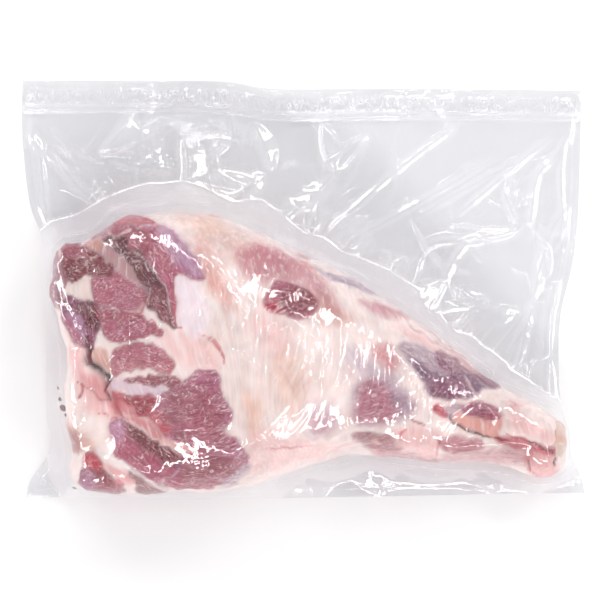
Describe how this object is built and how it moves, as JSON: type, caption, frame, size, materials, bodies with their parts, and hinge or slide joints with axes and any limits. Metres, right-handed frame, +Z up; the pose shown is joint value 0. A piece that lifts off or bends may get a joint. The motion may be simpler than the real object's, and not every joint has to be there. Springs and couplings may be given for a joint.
{
  "type": "raw leg of lamb in a sealed clear bag",
  "caption": "Whole raw bone-in leg of lamb, sealed in a wide clear plastic bag with a header seal, lying on its side.",
  "frame": {"origin": "on the surface that the pack lies on, below the middle of the bag's outline", "axes": "+X from the butt of the leg to its shank, +Y to the bag's wide header seal, +Z up, away from the surface"},
  "size_m": [0.3964, 0.2941, 0.0985],
  "materials": {
    "film": "clear, thin, wrinkled plastic film",
    "meat": "wet raw lamb muscle, mauve pink to red brown",
    "bone": "damp ivory bone and cartilage",
    "blood": "wet, clear dark red meat juice"
  },
  "bodies": {
    "root": {"sealed_bag": "film"}
  },
  "joints": []
}
